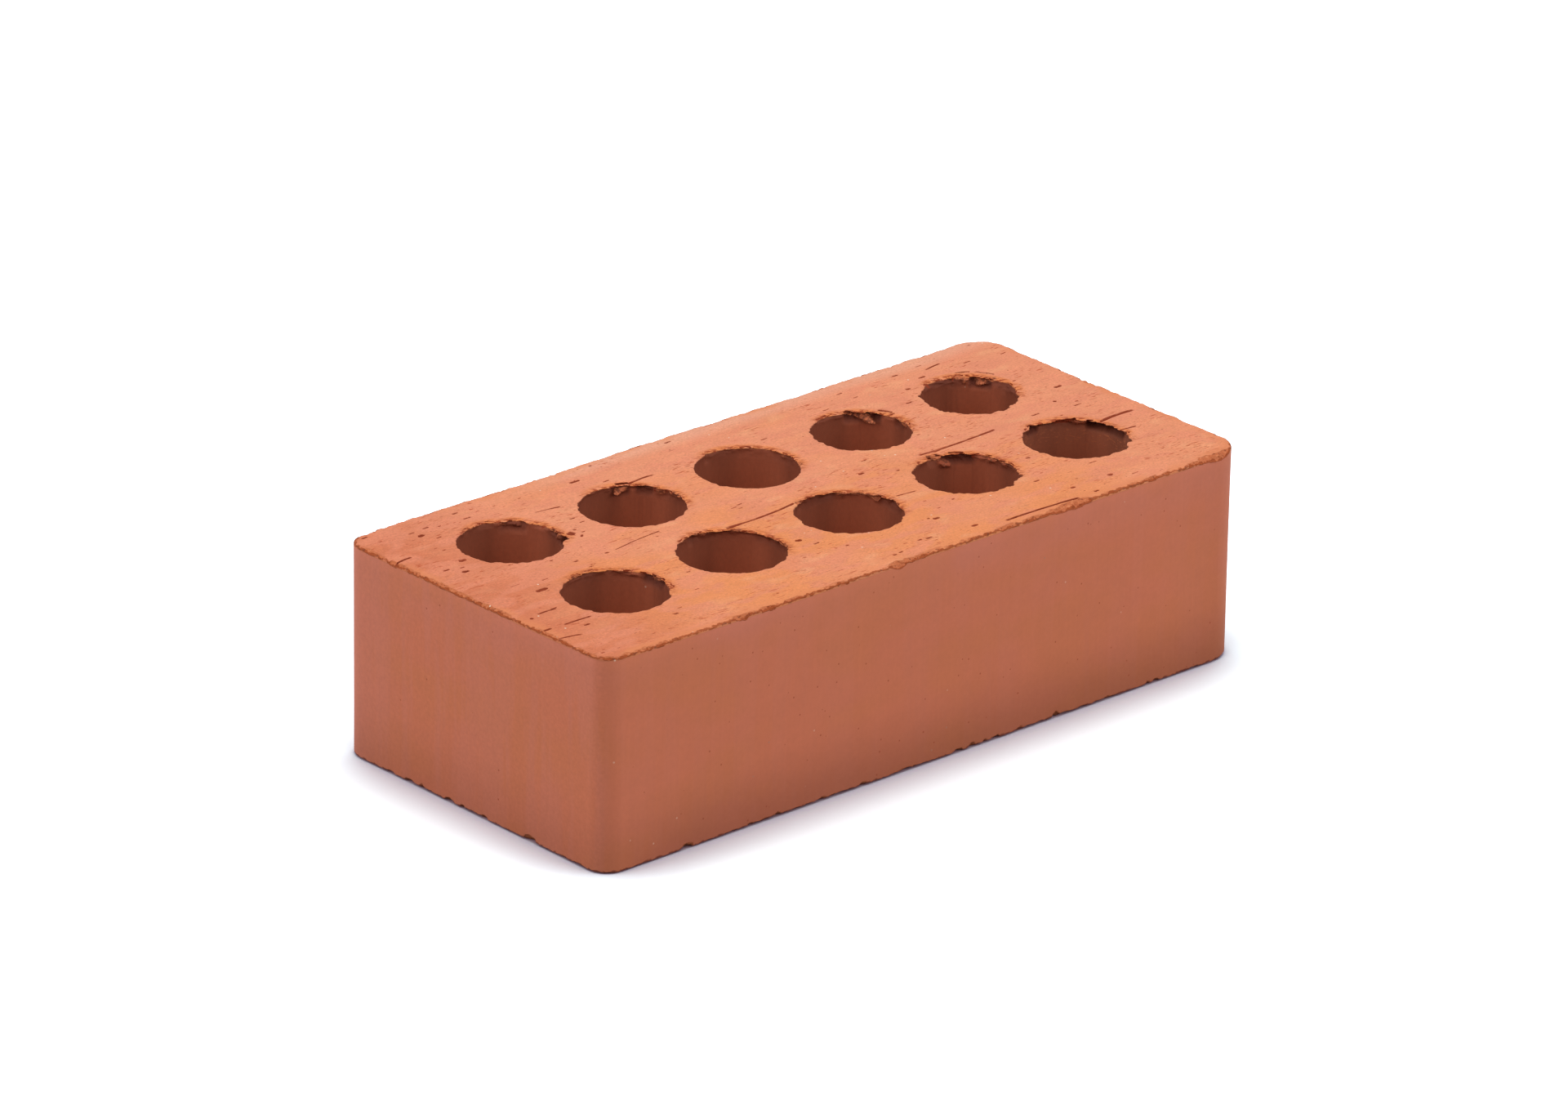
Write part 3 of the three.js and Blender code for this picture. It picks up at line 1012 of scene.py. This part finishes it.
def core_wall(clay):
    """Core walls with painted light: lighter further down and towards the lit side, darker away from it, so
    that they look even from above.
    """
    # painted light: the wall's colour runs lighter further down, against the shade deep in the core
    down = clay.node("MapRange", {"Value": clay.z, "From Min": HEIGHT, "From Max": HEIGHT - 13 * MM})
    colour = clay.mottled(clay.mix(down.outputs["Result"], CORE_WALL, CORE_WALL_LIT_DEEP),
                          (clay.noise((3, 3, 26), detail=1.0, shift=15.0), 0.95, 1.05),
                          (clay.noise((0.9, 0.9, 1.3), shift=39.0), 0.9, 1.1),
                          # painted light: lighter towards the lit side, darker away from it
                          (clay.step(clay.toward_lit_side, 0.76, 1.0), 0.77, 1.2))
    # the last core of the front row is dusty, with crumbs on its wall
    dusty = clay.times(clay.run(clay.x, 72, 78), clay.run(clay.y, 0, -8))
    stuck = clay.times(clay.patches((1.2, 1.2, 0.5), (0.58, 0.64), shift=45.0), dusty,
                       clay.times(clay.below(9, 6), clay.below(2, 4)), 0.5)
    # the dust and crumbs, then painted shade in the hollows under the rims
    return clay.coated(colour, (clay.times(dusty, 0.3), CORE_DUST), (stuck, TORN),
                       (clay.attribute("hollow"), HOLLOW_SHADE))


def crumbled(clay, colour, pattern, deep, pale):
    """A colour with painted shade in its deep hollows and pale crumbs, each on its own ramp of the pattern.
    """
    return clay.coated(colour, (clay.step(pattern, *deep), TORN_CREVICE_SHADE), (clay.step(pattern, *pale), CRUMB))


def torn_clay(clay):
    """Torn clay: flaked in layers at the mouths, orange rubble over a brown line of painted shadow at the
    arrises.
    """
    crumbly = crumbled(clay, TORN, clay.hollows, (0.46, 0.32), (0.56, 0.68, 0.0, 0.7))
    layers = clay.noise((2.4, 0.8, 0.45), RIM_TURN, shift=37.0)
    layered = crumbled(clay, TORN, layers, (0.5, 0.4), (0.58, 0.68, 0.0, 0.7))
    rubble = crumbled(clay, ARRIS, clay.hollows, (0.42, 0.3, 0.0, 0.75), (0.56, 0.68, 0.0, 0.6))
    # painted shadow: a brown line along the arris, fainter at the foot
    line = clay.times(clay.step(clay.plus(clay.off_face, clay.uneven), 0.8, 0.5),
                      clay.step(clay.z, 0.3 * HEIGHT, 0.5 * HEIGHT, 0.3, 0.9))
    rubble = clay.mix(line, rubble, ARRIS_SHADE_LINE)
    colour = clay.mix(clay.step(clay.beside_core, 5.0, 4.0), crumbly, layered)
    colour = clay.mix(clay.step(clay.beside_core, 4.0, 6.0), colour, rubble)
    # painted shade: torn clay darker near the foot, standing for the contact shadow there
    return clay.shaded(colour, clay.run(clay.z, 0.4, 2.5), 0.5, 1.0)


def arris_lines(clay, colour):
    """A thin brown line of painted shadow along the upper arris, under the burr there, and a dark line of
    painted contact shade at the foot.
    """
    off_face = clay.step(clay.plus(clay.off_face, clay.times(clay.uneven, 0.9)), 0.75, 0.45)
    height = clay.plus(clay.z, clay.times(clay.uneven, 0.7 * MM))
    # painted shadow under the burr along the upper arris, with painted shade in its hollows
    line = clay.times(off_face, clay.step(height, HEIGHT - 1.0 * MM, HEIGHT - 0.6 * MM), 0.85)
    line_shade = clay.mix(clay.step(clay.hollows, 0.46, 0.36), ARRIS_SHADE_LINE, TORN_CREVICE_SHADE)
    # painted shade: a dark line at the foot stands for the contact shadow in the crease
    foot = clay.times(clay.run(clay.plus(clay.z, clay.times(clay.uneven, 0.9 * MM)), 0.95, 0.55),
                      clay.step(clay.off_face, 1.2, 0.7, 0.0, 0.85))
    return clay.coated(colour, (line, line_shade), (foot, FOOT_SHADE))


def tongue_clay(clay, colour):
    """The clay that the wire dragged over the mouths, duller in the front row."""
    drawn = clay.mix(clay.run(clay.y, 2, -2), TONGUE, TONGUE_DULL)
    # painted shade in the tongue's hollows
    drawn = clay.mix(clay.step(clay.hollows, 0.4, 0.6), TORN_CREVICE_SHADE, drawn)
    return clay.mix(clay.step(clay.beside_core, -0.15, -0.5, 0.0, 0.9), colour, drawn)


def wire_marks(clay, colour):
    """Gouges and scratches, darker than the bed."""
    # the gouges darken with their depth: partly their own darker clay, partly painted shade in the hollows
    gouge = clay.step(clay.attribute("marks"), 0.1, 0.8, 0.0, 0.9)
    across = clay.maths("ABSOLUTE", clay.attribute("across_scratch"), 0.0)
    scratch = clay.times(clay.step(across, 1.9, 1.0), clay.step(clay.attribute("off_scratch"), 1.0, 0.5),
                         clay.patches(2.2, (0.3, 0.5, 0.5, 0.95), detail=0.0, shift=21.0),
                         clay.below(3, 2), clay.bed)
    return clay.coated(colour, (gouge, GOUGE), (scratch, SCRATCH))


def sand(clay, colour):
    """Sand grains, pale ones mostly in the beds and dark ones all over."""
    cells = clay.node("TexVoronoi", {"Vector": clay.place(2.6), "Scale": 1.0, "Randomness": 1.0})
    lucky = clay.node("SeparateColor", {"Color": cells.outputs["Color"]})
    speck = clay.step(cells.outputs["Distance"], 0.14, 0.06)
    pale = clay.times(speck, clay.step(lucky.outputs[0], 0.945, 0.955),
                      clay.step(clay.bed, 0.0, 1.0, 0.35, 1.0))
    dark = clay.times(speck, clay.step(lucky.outputs[1], 0.93, 0.94, 0.0, 0.55))
    return clay.coated(colour, (pale, GRAIN), (dark, GOUGE))


def fine_relief(clay):
    """Relief too fine for the mesh: grit and streaks on the beds, hollows in the torn clay."""
    height = clay.times(clay.plus(clay.times(clay.grit, 0.12), clay.times(clay.streaks, 0.10)),
                        clay.step(clay.bed, 0.0, 1.0, 0.12, 0.8))
    height = clay.plus(height, clay.times(clay.hollows, clay.times(clay.torn, 0.35)))
    return clay.bump(height, 1.0, 0.9)


def clay_material():
    """Fired clay, with each part of the brick's surface finished in its own way."""
    clay = Clay()
    colour = clay.mix(clay.step(clay.beside_core, 0.45, 0.15), die_skin(clay), core_wall(clay))
    colour = clay.coated(colour, (clay.bed, rubbed_bed(clay, cut_bed(clay))), (clay.torn, torn_clay(clay)))
    for dressing in (arris_lines, tongue_clay, wire_marks, sand):
        colour = dressing(clay, colour)
    roughness = clay.step(clay.bed, 0.0, 1.0, 0.72, 0.9)
    shader = clay.node("BsdfPrincipled", {"Base Color": colour, "Roughness": roughness,
                                          "Normal": fine_relief(clay), "Specular IOR Level": 0.25})
    clay.node("OutputMaterial", {"Surface": shader.outputs["BSDF"]})
    return clay.material


# ---------------------------------------------------------------- scene
def camera():
    """Looks down at the near corner, from the front and the left."""
    turn, pitch, roll = (math.radians(angle) for angle in (42.333, 22.798, 1.022))
    aim = Vector((-7.95, -2.25, 43.30)) * MM
    distance = 2.42275
    ahead = Vector((math.sin(turn) * math.cos(pitch), math.cos(turn) * math.cos(pitch), -math.sin(pitch)))
    level = Vector((math.cos(turn), -math.sin(turn), 0))
    right = Matrix.Rotation(-roll, 3, ahead) @ level
    up = right.cross(ahead)
    data = bpy.data.cameras.new("camera")
    data.sensor_width = 36
    data.lens = 212.3
    data.clip_end = 100
    view = bpy.data.objects.new("camera", data)
    view.matrix_world = Matrix((right, up, -ahead)).transposed().to_4x4()
    view.location = aim - ahead * distance
    bpy.context.scene.collection.objects.link(view)
    bpy.context.scene.camera = view


def softbox(name, bearing, elevation, distance, size, power):
    """A soft lamp aimed at the brick; its bearing runs from +X towards +Y."""
    bearing, elevation = math.radians(bearing), math.radians(elevation)
    place = Vector((math.cos(bearing) * math.cos(elevation), math.sin(bearing) * math.cos(elevation),
                    math.sin(elevation))) * distance
    data = bpy.data.lights.new(name, "AREA")
    data.shape = "RECTANGLE"
    data.size, data.size_y = size
    data.energy = power
    lamp = bpy.data.objects.new(name, data)
    lamp.location = place
    lamp.rotation_euler = (-place).to_track_quat("-Z", "Y").to_euler()
    bpy.context.scene.collection.objects.link(lamp)


SKY = 0.5                # level of the plain white surroundings
FLOOR_BOUNCE = 0.4       # how pale the floor is to the brick
FLOOR_SEEN = (1.70, 1.91, 2.03, 1)     # and to the eye: white a thumb's length away from the brick
FLOOR_CREASE = (1.62, 1.44, 1.78, 1)   # its tint right beside the foot
FLOOR_DEEPEST = (0.42, 0.25, 0.33, 1)  # and in the crack below the foot
CONTACT = 24 * MM        # how far the brick's closeness darkens the floor to the eye


def paper_material():
    """Plain paper: bright to the eye but for the contact shadow, darker to the light that it bounces."""
    paper = Finish("paper")
    path = paper.node("LightPath", {})
    eye = paper.maths("MAXIMUM", path.outputs["Is Camera Ray"], path.outputs["Is Glossy Ray"])
    eye = paper.maths("MAXIMUM", eye, path.outputs["Is Transmission Ray"])
    # painted contact shadow: ambient occlusion darkens the floor's colour to the eye near the brick, tinted
    # beside the foot and darkest in the crack below it
    close = paper.node("AmbientOcclusion", {"Distance": CONTACT}, samples=6)
    tint = paper.mix(paper.step(close.outputs["AO"], 0.48, 0.64), FLOOR_CREASE, FLOOR_SEEN)
    seen = paper.mix(1.0, tint, close.outputs["Color"], "MULTIPLY")
    seen = paper.mix(1.0, seen, FLOOR_DEEPEST, "LIGHTEN")
    hidden = paper.node("BsdfDiffuse", {"Color": (FLOOR_BOUNCE, FLOOR_BOUNCE, FLOOR_BOUNCE, 1)})
    plain = paper.node("BsdfDiffuse", {"Color": seen})
    both = paper.tree.nodes.new("ShaderNodeMixShader")
    for index, value in enumerate((eye, hidden.outputs["BSDF"], plain.outputs["BSDF"])):
        paper.tree.links.new(value, both.inputs[index])
    paper.node("OutputMaterial", {"Surface": both.outputs["Shader"]})
    return paper.material


def studio():
    """Plain white surroundings, four soft lamps and a sheet of paper."""
    scene = bpy.context.scene
    scene.view_settings.view_transform = "Standard"
    world = bpy.data.worlds.new("studio")
    scene.world = world
    world.use_nodes = True
    tree = world.node_tree
    background = tree.nodes["Background"]
    path = tree.nodes.new("ShaderNodeLightPath")
    level = tree.nodes.new("ShaderNodeMapRange")
    level.inputs["To Min"].default_value = SKY
    level.inputs["To Max"].default_value = 1.0
    tree.links.new(path.outputs["Is Camera Ray"], level.inputs["Value"])
    tree.links.new(level.outputs["Result"], background.inputs["Strength"])
    background.inputs["Color"].default_value = (1, 1, 1, 1)

    softbox("overhead", 60, 78, 1.4, (1.2, 1.2), 6.2)
    softbox("left_softbox", 152, 26, 1.3, (0.8, 0.8), 4.2)
    softbox("right_softbox", -62, 26, 1.3, (0.8, 0.8), 4.7)
    softbox("near_softbox", -155, 32, 1.3, (0.4, 0.4), 0.5)

    bpy.ops.mesh.primitive_plane_add(size=12, location=(0, 0, 0))
    floor = bpy.context.object
    floor.name = "floor"
    floor.data.materials.append(paper_material())


camera()
studio()
brick = fired_brick()
brick.data.materials.clear()
brick.data.materials.append(clay_material())
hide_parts(NODE)
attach(brick, "root")
